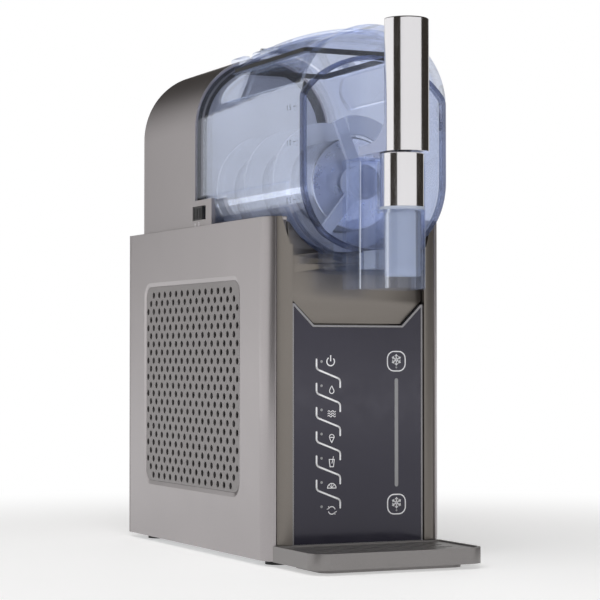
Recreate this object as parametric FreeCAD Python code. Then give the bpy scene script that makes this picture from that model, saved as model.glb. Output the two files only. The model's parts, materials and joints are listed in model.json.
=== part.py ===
import FreeCAD, Part
import math
import os

from FreeCAD import Vector as V

# A counter-top slushie machine: a narrow body with a refrigeration unit, a geared auger drive in the
# head, and a clear vessel that pulls off forwards. Millimetres. The model is drawn with the control
# panel's face at Y = 0, front towards -Y, and every piece is moved by PANEL_Y as it is written, which
# puts the origin on the ground under the middle of the machine.

# --- driving dimensions ---
PANEL_Y = -115.5          # where the control panel's face lies in the finished frame
GROUND = 4.6              # height of the body's underside above the table
BODY_HALF = 84.0          # half width over the side covers
BODY_TOP = 295.8
BODY_REAR = 338.0
COVER_WALL = 2.5
CORNER_X = 60.5           # centre of the rounded front corners
CORNER_Y = 20.0
POST_R = 22.0             # outer radius of the corner posts
COVER_R = BODY_HALF - CORNER_X
SEAM_DEG = 41.0           # where post and cover meet round the corner, from straight ahead

PANEL_HALF = 62.5         # control panel
PANEL_LOW = 16.3
PANEL_TOP = 222.3
NOTCH_Z = 204.0
NOTCH_HALF = 42.0
POST_X = 62.8             # inner face of the corner posts

TRAY_HALF = 79.4          # drip tray
TRAY_FRONT = -81.4
TRAY_TOP = 18.0

AUGER_Z = 326.0           # axis of auger and drum, and of the vessel's lower half round
ARCH_Z = 390.0            # axis of the vessel's and head's upper half round
HEAD_HALF = 69.0
HEAD_FRONT = 203.0
SKIRT_FRONT = 163.0
SKIRT_TOP = 322.0
VESSEL_R = 68.0
VESSEL_NECK_R = 64.5      # narrower lower half behind the front chamber
VESSEL_WALL = 3.0
VESSEL_FRONT = -32.5
VESSEL_REAR = 201.5
CHAMBER_REAR = 11.0
TROUGH_R = 69.0
RIM_Z = 437.0             # the port's rim
PORT_FRONT = 2.0
PORT_REAR = 165.0
LID_Y = (5.2, 164.7)
LID_BULGE_R = 656.0       # the lid's gentle curve from front to rear
LID_R = 69.5
LID_TOP = 464.5
LID_HINGE = (169.0, 461.0)
KNUCKLE_R = 2.7

SHAFT_R = 6.0
RUN = 0.05                # radial running clearance
DRUM_R = 40.0
DRUM_FRONT = 8.0
BLADE_R = 58.0
BLADE_PITCH = 63.0
BLADE_REAR = 197.0
BLADE_FRONT = -1.5
BLADE_THICK = 3.5
BLADE_LEFT_Y = 175.5
GEAR_MODULE = 1.5
GEAR_TEETH = 48
PINION_TEETH = 12
GEAR_Y = (219.0, 229.0)
GEARBOX_Y = (216.5, 235.0)
PINION_Z = AUGER_Z + GEAR_MODULE * (GEAR_TEETH + PINION_TEETH) / 2

SPOUT_Y = -81.0           # axis of bonnet, valve tube and plunger
HANDLE_Y = -88.0
HANDLE_R = 19.0
HANDLE_TOP = 454.2
HANDLE_LOW = 344.8
TAP_PIVOT = (-46.0, 348.5)
HOOD_HALF = 31.0
HOOD_FRONT = -67.5
HOOD_LOW = 233.0
HOOD_TOP = 341.0
NOSE_TOP = 297.3

FAN_Y, FAN_Z, FAN_R = 220.0, 145.0, 56.0
GRILLE_Y = (61.5, 297.0)
GRILLE_Z = (54.5, 247.5)
GRILLE_X = 83.0           # outer face of the perforated sheet
GRILLE_BEVEL = 4.0
GRILLE_ROWS_Z = 149.6     # height of the middle row of holes


# --- helpers ---
def box(x0, x1, y0, y1, z0, z1):
    return Part.makeBox(x1 - x0, y1 - y0, z1 - z0, V(x0, y0, z0))


def cyl(axis, radius, low, high, a, b):
    """Round bar along axis from low to high; a and b are its centre's other two coordinates."""
    if axis == "x":
        return Part.makeCylinder(radius, high - low, V(low, a, b), V(1, 0, 0))
    if axis == "y":
        return Part.makeCylinder(radius, high - low, V(a, low, b), V(0, 1, 0))
    return Part.makeCylinder(radius, high - low, V(a, b, low), V(0, 0, 1))


def pipe(axis, outer, inner, low, high, a, b):
    return cyl(axis, outer, low, high, a, b).cut(cyl(axis, inner, low - 1, high + 1, a, b))


def at(axis, level, u, v):
    """A point given in the plane square to axis: (Y, Z), (X, Z) or (X, Y)."""
    return {"x": V(level, u, v), "y": V(u, level, v), "z": V(u, v, level)}[axis]


def along(axis, length):
    return {"x": V(length, 0, 0), "y": V(0, length, 0), "z": V(0, 0, length)}[axis]


def prism(axis, outline, low, high):
    """Closed outline of (u, v) points, pushed along axis."""
    points = [at(axis, low, u, v) for u, v in outline]
    return Part.Face(Part.makePolygon(points + points[:1])).extrude(along(axis, high - low))


def arc(axis, level, centre, radius, start_deg, end_deg):
    """Arc edge in the plane square to axis, angles from +u towards +v."""
    points = []
    for deg in (start_deg, (start_deg + end_deg) / 2, end_deg):
        a = math.radians(deg)
        points.append(at(axis, level, centre[0] + radius * math.cos(a), centre[1] + radius * math.sin(a)))
    return Part.Arc(*points).toShape()


def joined(edges, *corners):
    """Face inside the edges, with straight lines closing every gap; corners follow the last edge."""
    chain = []
    for index, edge in enumerate(edges):
        chain.append(edge)
        after = edges[index + 1] if index + 1 < len(edges) else None
        here = edge.Vertexes[-1].Point
        stops = list(corners) if after is None else []
        stops.append(after.Vertexes[0].Point if after else edges[0].Vertexes[0].Point)
        for stop in stops:
            if here.distanceToPoint(stop) > 1e-6:
                chain.append(Part.makeLine(here, stop))
            here = stop
    return Part.Face(Part.Wire(chain))


def mirrored(shape):
    return shape.mirror(V(0, 0, 0), V(1, 0, 0))


def both_sides(shape):
    return [shape, mirrored(shape)]


def rounded(solid, radius, axis, pick=lambda p: True):
    """Fillet the solid's straight edges that run along axis, where pick says so."""
    way = along(axis, 1)
    edges = []
    for edge in solid.Edges:
        if edge.Curve.TypeId != "Part::GeomLine":
            continue
        if abs(abs(edge.tangentAt(edge.FirstParameter).dot(way)) - 1) < 1e-6:
            if pick(edge.CenterOfMass):
                edges.append(edge)
    return solid.makeFillet(radius, edges)


def soft_box(x0, x1, y0, y1, z0, z1, radius, axis="z"):
    return rounded(box(x0, x1, y0, y1, z0, z1), radius, axis)


def rect_wire(x, y0, y1, z0, z1, radius):
    """Rounded rectangle in the plane X = x."""
    corners = [((y1 - radius, z1 - radius), 0), ((y0 + radius, z1 - radius), 90),
               ((y0 + radius, z0 + radius), 180), ((y1 - radius, z0 + radius), 270)]
    edges = [arc("x", x, centre, radius, start, start + 90) for centre, start in corners]
    return joined(edges).OuterWire


def slot_wire(axis, level, u, v, length, width):
    """Round-ended slot, long along u."""
    r = width / 2
    reach = length / 2 - r
    edges = [arc(axis, level, (u + reach, v), r, -90, 90), arc(axis, level, (u - reach, v), r, 90, 270)]
    return joined(edges).OuterWire


def perforated(outer, holes, thickness):
    """Flat sheet from an outer wire and its hole wires."""
    return Part.Face([outer] + holes).extrude(thickness)


def stadium(radius, y0, y1, top=ARCH_Z):
    """Upright round-ended bar along Y, the vessel's and the bulkhead's outline."""
    middle = box(-radius, radius, y0, y1, AUGER_Z, top)
    caps = [cyl("y", radius, y0, y1, 0, top), cyl("y", radius, y0, y1, 0, AUGER_Z)]
    return middle.multiFuse(caps).removeSplitter()


def bent_tube(points, radius, bend):
    """Round tube along straight runs joined by tangent arcs."""
    points = [V(*p) for p in points]
    edges = []
    here = points[0]
    for before, corner, after in zip(points, points[1:], points[2:]):
        a = (before - corner).normalize()
        b = (after - corner).normalize()
        half = a.getAngle(b) / 2
        cut = bend / math.tan(half)
        first = corner + a * cut
        last = corner + b * cut
        centre = corner + (a + b).normalize() * (bend / math.sin(half))
        middle = centre + (corner - centre).normalize() * bend
        edges += [Part.makeLine(here, first), Part.Arc(first, middle, last).toShape()]
        here = last
    edges.append(Part.makeLine(here, points[-1]))
    spine = Part.Wire(edges)
    profile = Part.Wire(Part.makeCircle(radius, points[0], points[1] - points[0]))
    return spine.makePipeShell([profile], True, True)


def spur_gear(teeth, module, y0, y1, centre_z, bore, start_deg):
    """Straight-cut gear about an axis along Y; a tooth points at start_deg from +X towards +Z."""
    pitch_r = module * teeth / 2
    rings = [(pitch_r - 1.25 * module, 0.36), (pitch_r, 0.23), (pitch_r + 0.9 * module, 0.12)]
    step = 2 * math.pi / teeth
    outline = []
    for tooth in range(teeth):
        middle = math.radians(start_deg) + tooth * step
        for radius, share in rings:
            outline.append((radius, middle - share * step))
        for radius, share in reversed(rings):
            outline.append((radius, middle + share * step))
    points = [(r * math.cos(a), centre_z + r * math.sin(a)) for r, a in outline]
    gear = prism("y", points, y0, y1)
    if bore:
        gear = gear.cut(cyl("y", bore, y0 - 1, y1 + 1, 0, centre_z))
    return gear


def save(name, shape):
    """Write one node, moved into the finished frame; a list is a group of separate solids."""
    if isinstance(shape, list):
        shape = Part.makeCompound(shape)
    moved = shape.translated(V(0, PANEL_Y, 0))
    moved.exportStep("parts/" + name + ".step")


# --- body ---
def corner_band(outer, inner, start_deg, end_deg):
    """Outer and inner arcs of the right front corner, angles from straight ahead."""
    centre = (CORNER_X, CORNER_Y)
    out = arc("z", GROUND, centre, outer, start_deg - 90, end_deg - 90)
    back = arc("z", GROUND, centre, inner, end_deg - 90, start_deg - 90)
    return out, back


def pan_outline(inset):
    side, front, rear = BODY_HALF - 3 - inset, 4 + inset, 332 - inset
    half = [(66 - inset / 2, front), (side, CORNER_Y + inset / 2), (side, rear)]
    return half + [(-x, y) for x, y in reversed(half)]


def base_pan():
    pan = prism("z", pan_outline(0), GROUND, GROUND + 11)
    return pan.cut(prism("z", pan_outline(2), GROUND + 3, GROUND + 12))


def feet():
    return [cyl("z", 11, 0, GROUND, x, y) for x in (-62, 62) for y in (30, 312)]


def corner_post():
    inner_wall = POST_X + 3
    start = math.degrees(math.asin((POST_X - CORNER_X) / POST_R))
    inner_start = math.degrees(math.asin((inner_wall - CORNER_X) / (POST_R - 3)))
    out = arc("z", GROUND, (CORNER_X, CORNER_Y), POST_R, start - 90, SEAM_DEG - 90)
    back = arc("z", GROUND, (CORNER_X, CORNER_Y), POST_R - 3, SEAM_DEG - 90, inner_start - 90)
    face = joined([out, back], V(inner_wall, 17.5, GROUND), V(POST_X, 17.5, GROUND))
    face.translate(V(0, 0, TRAY_TOP + 0.3 - GROUND))
    post = face.extrude(V(0, 0, BODY_TOP - TRAY_TOP - 0.3))
    slant = prism("y", [(60, 272), (65, 272), (72, 297), (60, 297)], -5, CHAMBER_REAR)
    return post.cut(slant)


def front_frame():
    web = box(-POST_X, POST_X, 15, 17.5, TRAY_TOP + 0.3, 248)
    frame = web.multiFuse(both_sides(corner_post())).removeSplitter()
    return frame.cut(box(-66.5, 66.5, CHAMBER_REAR + 2.9, 20, BODY_TOP - 8, BODY_TOP + 1))


def front_plate():
    curve = Part.Arc(V(0, 2, 200), V(0, 4.3, 245), V(0, 11, 292)).toShape()
    back = Part.Arc(V(0, 14, 292), V(0, 7.3, 245), V(0, 5, 200)).toShape()
    sheet = joined([curve, back])
    half = POST_X - 0.6
    sheet.translate(V(-half, 0, 0))
    sheet = sheet.extrude(V(2 * half, 0, 0))
    low = NOTCH_Z + 1
    flat = NOTCH_HALF - 0.4
    shoulder = low + half - flat
    keep = [(-half, shoulder), (-flat, low), (flat, low), (half, shoulder), (half, 292), (-half, 292)]
    sheet = sheet.common(prism("y", keep, -5, 20))
    return sheet.cut(cyl("y", TROUGH_R, -5, 20, 0, AUGER_Z))


def panel_outline(inset):
    side = PANEL_HALF - inset
    top = PANEL_TOP - inset
    low = NOTCH_Z - inset
    flat = NOTCH_HALF + inset * 0.414
    half = [(side, PANEL_LOW + inset)]
    if flat + top - low < side:
        half += [(side, top), (flat + top - low, top)]
    else:
        half += [(side, low + side - flat)]
    half.append((flat, low))
    return half + [(-x, z) for x, z in reversed(half)]


def panel_bezel():
    rim = prism("y", panel_outline(0), 0, 6)
    rim = rim.cut(prism("y", panel_outline(2), -1, 3.2))
    return rim.cut(prism("y", panel_outline(4.5), -1, 7))


def control_glass():
    return prism("y", panel_outline(2.1), 0.2, 3.1)


LED_Z = [172.7 - 20.45 * n for n in range(7)]


def control_board():
    board = box(-52, 52, 8, 9.6, 30, 198)
    chips = [box(-12, 12, 9.6, 12, 120, 144), box(20, 44, 9.6, 14, 60, 72), box(-40, -28, 9.6, 13, 60, 90)]
    return board.multiFuse(chips)


def status_lights():
    lights = [box(-36.4, -33.4, 6.3, 8, z - 1.5, z + 1.5) for z in LED_Z]
    lights += [box(35, 38, 6.3, 8, z - 1.5, z + 1.5) for z in (50, 80, 111, 142, 173)]
    return lights


def side_cover():
    out, back = corner_band(COVER_R, COVER_R - COVER_WALL, SEAM_DEG + 0.7, 90)
    inner = BODY_HALF - COVER_WALL
    first = joined([out, back])
    skin = first.extrude(V(0, 0, BODY_TOP - GROUND))
    flat = box(inner, BODY_HALF, CORNER_Y, BODY_REAR - 3, GROUND, BODY_TOP)
    pad = box(79.5, inner, GRILLE_Y[0] - 6, GRILLE_Y[1] + 6, GRILLE_Z[0] - 6, GRILLE_Z[1] + 6)
    cover = skin.multiFuse([flat, pad]).removeSplitter()
    bevel = Part.makeLoft([grille_wire(BODY_HALF + 0.02, 0), grille_wire(GRILLE_X, GRILLE_BEVEL)], True, True)
    seat = Part.Face(grille_wire(inner, GRILLE_BEVEL)).extrude(V(GRILLE_X - inner, 0, 0))
    through = Part.Face(grille_wire(79, GRILLE_BEVEL + 1)).extrude(V(3, 0, 0))
    return cover.cut(bevel).cut(seat).cut(through)


def grille_wire(x, inset):
    """Outline of the cover's shallow recess, inset all round."""
    y0, y1 = GRILLE_Y
    z0, z1 = GRILLE_Z
    return rect_wire(x, y0 + inset, y1 - inset, z0 + inset, z1 - inset, 15 - inset)


def grille():
    """Perforated sheet seated in the cover's recess, in staggered rows."""
    rows, row_pitch, hole_pitch, hole_r = 23, 7.8, 14.56, 3.0
    middle_y = sum(GRILLE_Y) / 2
    x = BODY_HALF - COVER_WALL
    holes = []
    for row in range(rows):
        z = GRILLE_ROWS_Z + (row - (rows - 1) / 2) * row_pitch
        count = 16 if row % 2 == 0 else 15
        if row in (0, rows - 1):
            count = 14
        for i in range(count):
            y = middle_y + (i - (count - 1) / 2) * hole_pitch
            holes.append(Part.Wire(Part.makeCircle(hole_r, V(x, y, z), V(1, 0, 0))))
    return perforated(grille_wire(x, GRILLE_BEVEL + 0.05), holes, V(GRILLE_X - x, 0, 0))


def air_filter():
    """Dark foam sheet behind the grille."""
    y0, y1 = GRILLE_Y
    z0, z1 = GRILLE_Z
    return soft_box(75.4, 79.4, y0 - 4, y1 + 4, z0 - 4, z1 + 4, 6, "x")


SCREW_SPOTS = [(x, z) for x in (-76, 76) for z in (26, 150, 286)]
INLET_X, INLET_Z = 50.0, 42.0


def rear_cover():
    front = BODY_REAR - 2.8
    sheet = box(-BODY_HALF, BODY_HALF, front, BODY_REAR, GROUND, BODY_TOP)
    louvres = []
    for row in range(9):
        for x in (-34, 34):
            wire = slot_wire("y", front - 1, x, 96 + 14 * row, 54, 5)
            louvres.append(Part.Face(wire).extrude(V(0, 6, 0)))
    inlet = box(INLET_X - 14, INLET_X + 14, front - 1, BODY_REAR + 1, INLET_Z - 10.5, INLET_Z + 10.5)
    cuts = louvres + [inlet]
    for x, z in SCREW_SPOTS:
        cuts.append(cyl("y", 1.7, front - 1, BODY_REAR + 1, x, z))
        cuts.append(cyl("y", 3.2, BODY_REAR - 1.7, BODY_REAR + 1, x, z))
    return sheet.cut(Part.makeCompound(cuts))


def rear_screws():
    screws = []
    for x, z in SCREW_SPOTS:
        head = cyl("y", 3.0, BODY_REAR - 1.6, BODY_REAR - 0.1, x, z)
        head = head.cut(box(x - 2.2, x + 2.2, BODY_REAR - 0.8, BODY_REAR + 1, z - 0.4, z + 0.4))
        head = head.cut(box(x - 0.4, x + 0.4, BODY_REAR - 0.8, BODY_REAR + 1, z - 2.2, z + 2.2))
        screws.append(head.fuse(cyl("y", 1.5, BODY_REAR - 12, BODY_REAR - 1.6, x, z)))
    return screws


def mains_inlet():
    x, z = INLET_X, INLET_Z
    shell = soft_box(x - 13.8, x + 13.8, BODY_REAR - 20, BODY_REAR, z - 10.3, z + 10.3, 3, "y")
    return shell.cut(box(INLET_X - 12, INLET_X + 12, BODY_REAR - 17, BODY_REAR + 1, INLET_Z - 8, INLET_Z + 8))


def inlet_pins():
    return [box(INLET_X + x - 1, INLET_X + x + 1, BODY_REAR - 17, BODY_REAR - 5, INLET_Z + z - 3, INLET_Z + z + 3)
            for x, z in ((-7, -2), (0, 2), (7, -2))]


def top_deck():
    """Flat shoulder of the body with the trough for the vessel."""
    front = CHAMBER_REAR + 3.2
    low = BODY_TOP - 3
    reach = POST_R - 3.2
    start = math.degrees(math.asin((66.2 - CORNER_X) / reach))
    corner = arc("z", low, (CORNER_X, CORNER_Y), reach, start - 90, 0)
    side = BODY_HALF - COVER_WALL - 0.3
    tail = [V(side, CORNER_Y, low), V(side, BODY_REAR - 3, low), V(0, BODY_REAR - 3, low), V(0, front, low),
            V(66.2, front, low)]
    half = joined([corner], *tail).extrude(V(0, 0, 3))
    plate = half.fuse(mirrored(half)).removeSplitter()
    pipe_low = pipe("y", TROUGH_R + 2.5, TROUGH_R, front, HEAD_FRONT - 0.2, 0, AUGER_Z)
    pipe_low = pipe_low.common(box(-80, 80, front, HEAD_FRONT, 200, low + 1))
    plate = plate.cut(cyl("y", TROUGH_R, front - 1, HEAD_FRONT - 0.2, 0, AUGER_Z))
    plate = plate.cut(box(-62.5, 62.5, HEAD_FRONT - 0.3, 325, low - 1, BODY_TOP + 1))
    return plate.fuse(pipe_low).removeSplitter()


# --- head ---
LATCH_Y = (177.0, 209.0)
LATCH_Z = (303.5, 316.5)


def head_shell():
    def hull(half, y0, y1, low):
        lower = box(-half, half, y0, y1, low, ARCH_Z + 0.5)
        return lower.fuse(cyl("y", half, y0, y1, 0, ARCH_Z + 0.5)).removeSplitter()

    base = BODY_TOP + 0.2
    shell = hull(HEAD_HALF, HEAD_FRONT, BODY_REAR, base)
    upper = box(-80, 80, 0, 400, base, 500)
    shell = shell.common(upper).cut(hull(HEAD_HALF - 3, HEAD_FRONT - 1, BODY_REAR - 3, base - 100))
    skirt = box(65.2, HEAD_HALF, SKIRT_FRONT, HEAD_FRONT, base, SKIRT_TOP)
    shell = shell.multiFuse(both_sides(skirt)).removeSplitter()
    for pocket in both_sides(box(60, 75, *LATCH_Y, *LATCH_Z)):
        shell = shell.cut(pocket)
    return shell


def latch():
    """Lock slider in the skirt's pocket, with a raised thumb rib."""
    plate = box(65.6, 68.2, LATCH_Y[0] + 11, LATCH_Y[1] - 0.5, LATCH_Z[0] + 0.4, LATCH_Z[1] - 0.4)
    ribs = [box(68, 68.9, y, y + 1.6, LATCH_Z[0] + 1.5, LATCH_Z[1] - 1.5) for y in (190, 194, 198, 202, 205.5)]
    return plate.multiFuse(ribs).removeSplitter()


def head_bulkhead():
    rear = HEAD_FRONT + 3.2
    wall = stadium(HEAD_HALF - 3.3, HEAD_FRONT, rear, ARCH_Z)
    chin = cyl("y", TROUGH_R - 0.3, HEAD_FRONT, rear, 0, AUGER_Z).common(box(-80, 80, 200, 210, 200, 292.4))
    return wall.fuse(chin).removeSplitter().cut(cyl("y", 9.05, 200, 210, 0, AUGER_Z))


def vessel_gasket():
    y0, y1 = VESSEL_REAR + 0.3, HEAD_FRONT - 0.1
    ring = stadium(66.6, y0, y1, ARCH_Z).cut(stadium(58.0, y0 - 1, y1 + 1, ARCH_Z))
    for clear in both_sides(box(64.9, 70, y0 - 1, y1 + 1, 200, SKIRT_TOP + 0.4)):
        ring = ring.cut(clear)
    return ring


def evaporator_drum():
    skin = pipe("y", DRUM_R, DRUM_R - 1.5, DRUM_FRONT, HEAD_FRONT - 0.1, 0, AUGER_Z)
    core = pipe("y", 11, 9.05, DRUM_FRONT, HEAD_FRONT - 0.1, 0, AUGER_Z)
    ends = [pipe("y", DRUM_R, 9.05, y, y + 2.5, 0, AUGER_Z) for y in (DRUM_FRONT, HEAD_FRONT - 2.6)]
    drum = skin.multiFuse([core] + ends).removeSplitter()
    nose = [e for e in drum.Edges if abs(e.CenterOfMass.y - DRUM_FRONT) < 1e-6 and e.Length > 200]
    return drum.makeFillet(1.4, nose)


def gearbox_housing():
    y0, y1 = GEARBOX_Y
    shell = soft_box(-42, 42, y0, y1, 283, 387, 12, "y")
    shell = shell.cut(soft_box(-40, 40, y0 + 2, y1 - 2, 285, 385, 10, "y"))
    shell = shell.cut(cyl("y", SHAFT_R + RUN, y0 - 1, y1 + 1, 0, AUGER_Z))
    return shell.cut(cyl("y", 4 + RUN, y1 - 3, y1 + 1, 0, PINION_Z))


def gear_motor():
    y0 = GEARBOX_Y[1] + 0.2
    body = cyl("y", 26, y0 + 12, y0 + 78, 0, PINION_Z)
    flange = cyl("y", 20, y0, y0 + 12, 0, PINION_Z)
    ribs = [box(-27.5, 27.5, y, y + 3, PINION_Z - 6, PINION_Z + 6) for y in (y0 + 20, y0 + 64)]
    motor = body.multiFuse([flange] + ribs).removeSplitter()
    return motor.cut(cyl("y", 4 + RUN, y0 - 1, y0 + 14, 0, PINION_Z))


def motor_pinion():
    gear = spur_gear(PINION_TEETH, GEAR_MODULE, *GEAR_Y, PINION_Z, 0, -90 + 180 / PINION_TEETH)
    return gear.fuse(cyl("y", 4, GEAR_Y[1] - 1, GEARBOX_Y[1] + 12, 0, PINION_Z)).removeSplitter()


# --- drive ---
def drive_shaft():
    bar = cyl("y", SHAFT_R, -6, GEARBOX_Y[1] + 1, 0, AUGER_Z)
    return bar.cut(box(4.6, 10, -7, DRUM_FRONT - 3, AUGER_Z - 10, AUGER_Z + 10))


def output_gear():
    gear = spur_gear(GEAR_TEETH, GEAR_MODULE, *GEAR_Y, AUGER_Z, SHAFT_R, 90)
    holes = []
    for n in range(6):
        a = math.radians(60 * n + 30)
        holes.append(cyl("y", 6, 200, 240, 21 * math.cos(a), AUGER_Z + 21 * math.sin(a)))
    return gear.cut(Part.makeCompound(holes))


def auger():
    """One helical blade round the drum, advancing towards the front as it turns from +X to +Z."""
    inner = DRUM_R + 1.5
    rear = BLADE_REAR - BLADE_THICK / 2
    spine = Part.makeHelix(BLADE_PITCH, BLADE_REAR - BLADE_THICK - BLADE_FRONT, (inner + BLADE_R) / 2)
    half = BLADE_THICK / 2
    corners = [V(inner, 0, -half), V(BLADE_R, 0, -half), V(BLADE_R, 0, half), V(inner, 0, half)]
    profile = Part.makePolygon(corners + corners[:1])
    blade = Part.Wire(spine.Edges).makePipeShell([profile], True, True)
    blade.rotate(V(0, 0, 0), V(0, 0, 1), blade_deg(rear))
    blade.rotate(V(0, 0, 0), V(1, 0, 0), 90)
    blade.translate(V(0, rear, AUGER_Z))
    return blade


def blade_deg(y):
    """Angle at which the blade's middle passes y; it passes BLADE_LEFT_Y on the -X side."""
    return 180 + (BLADE_LEFT_Y - y) / BLADE_PITCH * 360


def auger_nose():
    """Hub on the shaft's front end with three scraper arms that carry the blade."""
    hub = cyl("y", 15, -16, DRUM_FRONT - 3.5, 0, AUGER_Z)
    hub = rounded_rim(hub, 5, -16)
    y1 = BLADE_FRONT - 0.3
    front_deg = blade_deg(BLADE_FRONT)
    arms = []
    for n in range(3):
        arm = box(10, BLADE_R - 1, y1 - 4.5, y1, AUGER_Z - 5, AUGER_Z + 5)
        arms.append(arm.rotated(V(0, 0, AUGER_Z), V(0, 1, 0), -(front_deg + 120 * n)))
    nose = hub.multiFuse(arms).removeSplitter()
    bore = cyl("y", SHAFT_R, -8, 20, 0, AUGER_Z)
    return nose.cut(bore)


def rounded_rim(solid, radius, y):
    edges = [e for e in solid.Edges if abs(e.CenterOfMass.y - y) < 1e-6]
    return solid.makeFillet(radius, edges)


# --- cooling ---
COMPRESSOR = (-12.0, 80.0)


def compressor():
    x, y = COMPRESSOR
    can = cyl("z", 44, 22, 142, x, y)
    can = can.makeFillet(16, [e for e in can.Edges if e.Curve.TypeId == "Part::GeomCircle"])
    plate = soft_box(x - 52, x + 52, y - 46, y + 46, 19, 22.5, 8)
    return can.fuse(plate).removeSplitter()


def compressor_mounts():
    x, y = COMPRESSOR
    return [cyl("z", 8, GROUND + 3, 19, x + dx, y + dy) for dx in (-42, 42) for dy in (-36, 36)]


def condenser():
    """Finned block between two end plates, with four tube rows seen at the ends."""
    y0, y1 = FAN_Y - 62, FAN_Y + 62
    z0, z1 = FAN_Z - 62, FAN_Z + 62
    core = [box(50.5, 67.5, y0 + 0.5, y1 + 0.5, z0 + 4 + 31 * n, z0 + 27 + 31 * n) for n in range(4)]
    fins = [box(49, 69, y, y + 1, z0, z1) for y in [y0 + 6.2 * n for n in range(21)]]
    return core[0].multiFuse(core[1:] + fins).removeSplitter()


def fan_shroud():
    frame = soft_box(27, 45, FAN_Y - 62, FAN_Y + 62, FAN_Z - 62, FAN_Z + 62, 10, "x")
    frame = frame.cut(cyl("x", FAN_R + 3, 26, 46, FAN_Y, FAN_Z))
    ring = pipe("x", 17.5, 15.1, 20, 27.5, FAN_Y, FAN_Z)
    arms = []
    for n in range(4):
        arm = box(22, 27.5, FAN_Y + 16.5, FAN_Y + 61, FAN_Z - 2, FAN_Z + 2)
        arms.append(arm.rotated(V(0, FAN_Y, FAN_Z), V(1, 0, 0), 45 + 90 * n))
    return frame.multiFuse([ring] + arms).removeSplitter()


def fan_motor():
    motor = cyl("x", 15, 6, 27.5, FAN_Y, FAN_Z)
    return motor.cut(cyl("x", 2 + RUN, 15, 28, FAN_Y, FAN_Z))


def fan_blades():
    hub = cyl("x", 16, 29, 41, FAN_Y, FAN_Z)
    blades = []
    for n in range(7):
        blade = box(28, 42, FAN_Y - 1, FAN_Y + 1, FAN_Z + 14, FAN_Z + FAN_R)
        blade = blade.rotated(V(35, FAN_Y, FAN_Z), V(0, 0, 1), 40)
        blades.append(blade.rotated(V(35, FAN_Y, FAN_Z), V(1, 0, 0), 360 / 7 * n))
    spindle = cyl("x", 2, 16, 30, FAN_Y, FAN_Z)
    rotor = hub.multiFuse(blades + [spindle]).removeSplitter()
    return rotor.common(cyl("x", FAN_R, 10, 50, FAN_Y, FAN_Z))


def filter_drier():
    x, y = -52, 145
    body = cyl("z", 9, 58, 118, x, y)
    cones = [Part.makeCone(4, 9, 8, V(x, y, 50)), Part.makeCone(9, 3, 8, V(x, y, 118))]
    return body.multiFuse(cones).removeSplitter()


def refrigerant_lines():
    x, y = COMPRESSOR
    to_condenser = [(x + 22, y, 142.2), (x + 22, y, 190), (59, y, 190), (59, FAN_Y - 62.2, 190)]
    to_drier = [(59, FAN_Y - 62.2, 95), (59, 143, 95), (59, 143, 32), (-52, 143, 32), (-52, 143, 49.8)]
    to_drum = [(-52, 145, 126.2), (-52, 145, 238), (-52, 211.3, 238), (-52, 211.3, 310), (-24, 211.3, 310)]
    back = [(-24, 211.3, 342), (-58.5, 211.3, 342), (-58.5, 211.3, 222), (-58.5, y, 222), (x - 15, y, 222),
            (x - 15, y, 142.2)]
    lines = [bent_tube(to_condenser, 3, 10), bent_tube(to_drier, 2.5, 6.5), bent_tube(to_drum, 1.5, 10),
             bent_tube(back, 3, 10)]
    fittings = [cyl("y", 4, HEAD_FRONT + 3.3, 215.5, -20, z) for z in (310, 342)]
    return lines + fittings


def power_board():
    board = box(-70, 16, 320, 321.6, 60, 200)
    parts = [cyl("y", 9, 292, 320, -50, 180), box(-30, 5, 298, 320, 160, 195), box(-60, -30, 304, 320, 110, 150),
             box(-18, 10, 306, 320, 100, 130), cyl("y", 6, 300, 320, -55, 80), cyl("y", 6, 300, 320, -35, 80)]
    return board.multiFuse(parts).removeSplitter()


# --- vessel ---
def notch(a_low, a_high):
    """Side recess of the fill port: a prism outside the slanted facet, tapering at both ends."""
    def section(y, low_x, high_x, low_z, high_z):
        outline = [(low_x, low_z), (high_x, high_z), (90, high_z), (90, low_z)]
        points = [V(x, y, z) for x, z in outline]
        return Part.makePolygon(points + points[:1])

    low, high = 407.5, RIM_Z - 2
    middle = prism("y", [(a_low, low), (a_high, high), (90, high), (90, low)], 0, 125)
    rear = Part.makeLoft([section(125, a_low, a_high, low, high),
                          section(172, a_low + 8.5, a_high + 6, low, high)], True, True)
    front = Part.makeLoft([section(0, a_low, a_high, low, high),
                           section(-24, a_low + 8.5, a_high + 6, low, high)], True, True)
    return middle.multiFuse([rear, front]).removeSplitter()


def sump(grow, y0, y1, top):
    low = 247 + VESSEL_WALL - grow
    half = 35 + grow
    return rounded(box(-half, half, y0, y1, low, top), 8 - VESSEL_WALL + grow, "y", lambda p: p.z < low + 1)


def window_outline(inset, y0, y1):
    """Solid with the front window's outline, inset all round."""
    half = VESSEL_R - 0.2 - inset
    sides = stadium(half, y0, y1, 440)
    top = cyl("y", 84 - inset, y0, y1, 0, 347.5)
    solid = sides.common(top)
    return rounded(solid, 13 - inset, "y", lambda p: 380 < p.z < 410)


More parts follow.
